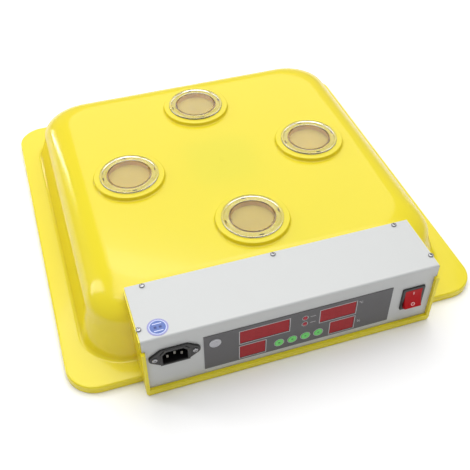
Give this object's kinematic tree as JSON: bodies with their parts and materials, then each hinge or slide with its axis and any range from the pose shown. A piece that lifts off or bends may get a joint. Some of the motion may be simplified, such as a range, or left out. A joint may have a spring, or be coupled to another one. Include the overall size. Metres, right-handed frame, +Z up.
{
  "type": "egg incubator",
  "caption": "Domed cover unit of a forced-air egg incubator, with clear inspection windows and a front control box with displays, keys, rocker switch and mains inlet.",
  "frame": {"origin": "middle of the footprint on the plane the unit rests on", "axes": "+X to the right as seen from the control panel, +Y to the back, +Z up"},
  "size_m": [0.456, 0.4746, 0.0833],
  "materials": {
    "yellow_shell": "gloss, slightly translucent moulded ABS",
    "clear_plastic": "clear polystyrene",
    "grey_sheet": "satin light grey powder coat",
    "zinc_screw": "bright zinc plate",
    "dark_overlay": "printed dark grey film",
    "silver_badge": "brushed",
    "blue_label": "printed blue film",
    "green_key": "satin green",
    "red_display": "dark red filter",
    "red_lamp": "clear red",
    "red_rocker": "gloss red",
    "black_plastic": "gloss black nylon",
    "board_green": "solder mask",
    "board_tan": "paper laminate",
    "nylon_white": "natural nylon",
    "tinned_brass": "tin plated",
    "iron_core": "varnished laminations and yellow tape",
    "relay_blue": "gloss blue",
    "capacitor_sleeve": "shrink sleeve",
    "terminal_green": "moulded",
    "fan_black": "moulded PBT",
    "guard_wire": "bright wire",
    "heater_sheath": "heat-tinted stainless tube",
    "ceramic": "unglazed ceramic",
    "probe_steel": "polished stainless",
    "rubber_black": "moulded",
    "lead_red": "PVC",
    "lead_white": "silicone",
    "lead_black": "PVC",
    "lead_brown": "PVC"
  },
  "bodies": {
    "root": {"cover_shell": "yellow_shell", "window_cap_front": "clear_plastic", "window_cap_left": "clear_plastic", "window_cap_back": "clear_plastic", "window_cap_right": "clear_plastic", "window_pane_front": "clear_plastic", "window_pane_left": "clear_plastic", "window_pane_back": "clear_plastic", "window_pane_right": "clear_plastic", "control_cover": "grey_sheet", "cover_screws": "zinc_screw", "panel_overlay": "dark_overlay", "panel_emblem": "silver_badge", "round_label": "blue_label", "display_upper_left": "red_display", "display_lower_left": "red_display", "display_upper_right": "red_display", "display_lower_right": "red_display", "indicator_leds": "red_lamp", "display_board": "board_green", "tact_switches": "black_plastic", "board_spacers": "nylon_white", "board_screws": "zinc_screw", "inlet_body": "black_plastic", "inlet_pins": "tinned_brass", "inlet_screws": "zinc_screw", "switch_housing": "black_plastic", "switch_terminals": "tinned_brass", "power_board": "board_tan", "power_board_screws": "zinc_screw", "transformer": "iron_core", "relay": "relay_blue", "capacitors": "capacitor_sleeve", "terminal_block": "terminal_green", "fuse_holder": "black_plastic", "buzzer": "black_plastic", "fan_frame": "fan_black", "fan_guard": "guard_wire", "fan_screws": "zinc_screw", "heater_ring": "heater_sheath", "heater_ends": "ceramic", "heater_clips": "probe_steel", "temperature_probe": "probe_steel", "probe_clip": "nylon_white", "humidity_sensor": "nylon_white", "wire_grommet": "rubber_black", "fan_lead": "lead_red", "heater_leads": "lead_white", "sensor_leads": "lead_black", "mains_leads": "lead_brown"},
    "switch_rocker": {"switch_rocker": "red_rocker"},
    "fan_rotor": {"fan_rotor": "fan_black"},
    "button_1": {"button_1": "green_key"},
    "button_2": {"button_2": "green_key"},
    "button_3": {"button_3": "green_key"},
    "button_4": {"button_4": "green_key"}
  },
  "joints": [
    {"name": "rocker_tilt", "type": "hinge", "parent": "root", "child": "switch_rocker", "pos_m": [0.13, -0.2313, 0.0425], "axis": [1, 0, 0], "range_deg": [0, 22]},
    {"name": "button_1_press", "type": "slide", "parent": "root", "child": "button_1", "axis": [0, 1, 0], "range_m": [0, 0.0008], "stiffness_N_per_m": 400},
    {"name": "button_2_press", "type": "slide", "parent": "root", "child": "button_2", "axis": [0, 1, 0], "range_m": [0, 0.0008], "stiffness_N_per_m": 400},
    {"name": "button_3_press", "type": "slide", "parent": "root", "child": "button_3", "axis": [0, 1, 0], "range_m": [0, 0.0008], "stiffness_N_per_m": 400},
    {"name": "button_4_press", "type": "slide", "parent": "root", "child": "button_4", "axis": [0, 1, 0], "range_m": [0, 0.0008], "stiffness_N_per_m": 400},
    {"name": "fan_spin", "type": "hinge", "parent": "root", "child": "fan_rotor", "pos_m": [0, 0.0107, 0.05], "axis": [0, 0, 1], "continuous": true}
  ]
}
